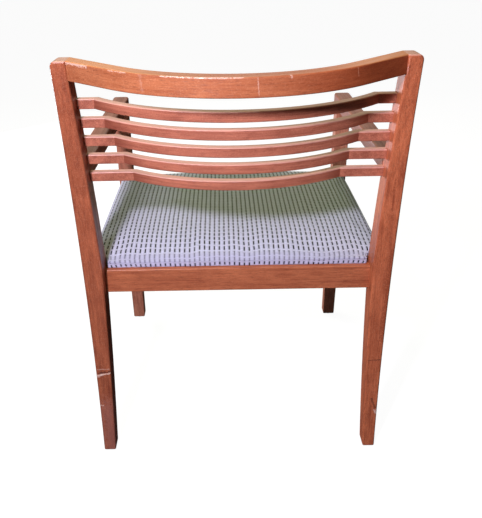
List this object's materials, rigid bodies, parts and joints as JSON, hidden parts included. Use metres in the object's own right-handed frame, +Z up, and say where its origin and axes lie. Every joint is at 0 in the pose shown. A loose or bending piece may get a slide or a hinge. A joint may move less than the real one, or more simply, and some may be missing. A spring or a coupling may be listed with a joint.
{
  "type": "guest armchair",
  "caption": "Guest armchair in stained hardwood with a bowed crest rail over bowed back slats, open arms on the front legs and an upholstered seat.",
  "frame": {"origin": "on the floor under the middle of the chair's outline", "axes": "+Z up; the chair faces -Y, so its crest rail is towards +Y; +X on the sitter's left"},
  "size_m": [0.568, 0.6784, 0.81],
  "materials": {
    "stained_wood": "satin lacquer over a reddish cherry stain",
    "pale_wood": "bare sawn wood",
    "plywood": "bare plywood",
    "seat_foam": "open-cell foam",
    "seat_cloth": "woven upholstery with dark dots in rows",
    "dust_cloth": "thin black non-woven cloth",
    "zinc_steel": "bright zinc plate",
    "glide_nylon": "moulded nylon"
  },
  "bodies": {
    "root": {"back_post_left": "stained_wood", "back_post_right": "stained_wood", "crest_rail": "stained_wood", "back_slat_1": "stained_wood", "back_slat_2": "stained_wood", "back_slat_3": "stained_wood", "back_slat_4": "stained_wood", "back_slat_5": "stained_wood", "front_leg_left": "stained_wood", "front_leg_right": "stained_wood", "arm_left": "stained_wood", "arm_right": "stained_wood", "rear_seat_rail": "stained_wood", "front_seat_rail": "stained_wood", "side_seat_rail_left": "stained_wood", "side_seat_rail_right": "stained_wood", "corner_block_rear_left": "pale_wood", "corner_block_rear_right": "pale_wood", "corner_block_front_left": "pale_wood", "corner_block_front_right": "pale_wood", "corner_block_screws": "zinc_steel", "crest_dowels": "pale_wood", "arm_dowels": "pale_wood", "seat_rail_dowels": "pale_wood", "seat_board": "plywood", "seat_foam": "seat_foam", "seat_cover": "seat_cloth", "dust_cover": "dust_cloth", "seat_staples": "zinc_steel", "seat_screws": "zinc_steel", "seat_tee_nuts": "zinc_steel", "glide_rear_left": "glide_nylon", "glide_rear_right": "glide_nylon", "glide_front_left": "glide_nylon", "glide_front_right": "glide_nylon", "glide_nails": "zinc_steel"}
  },
  "joints": []
}
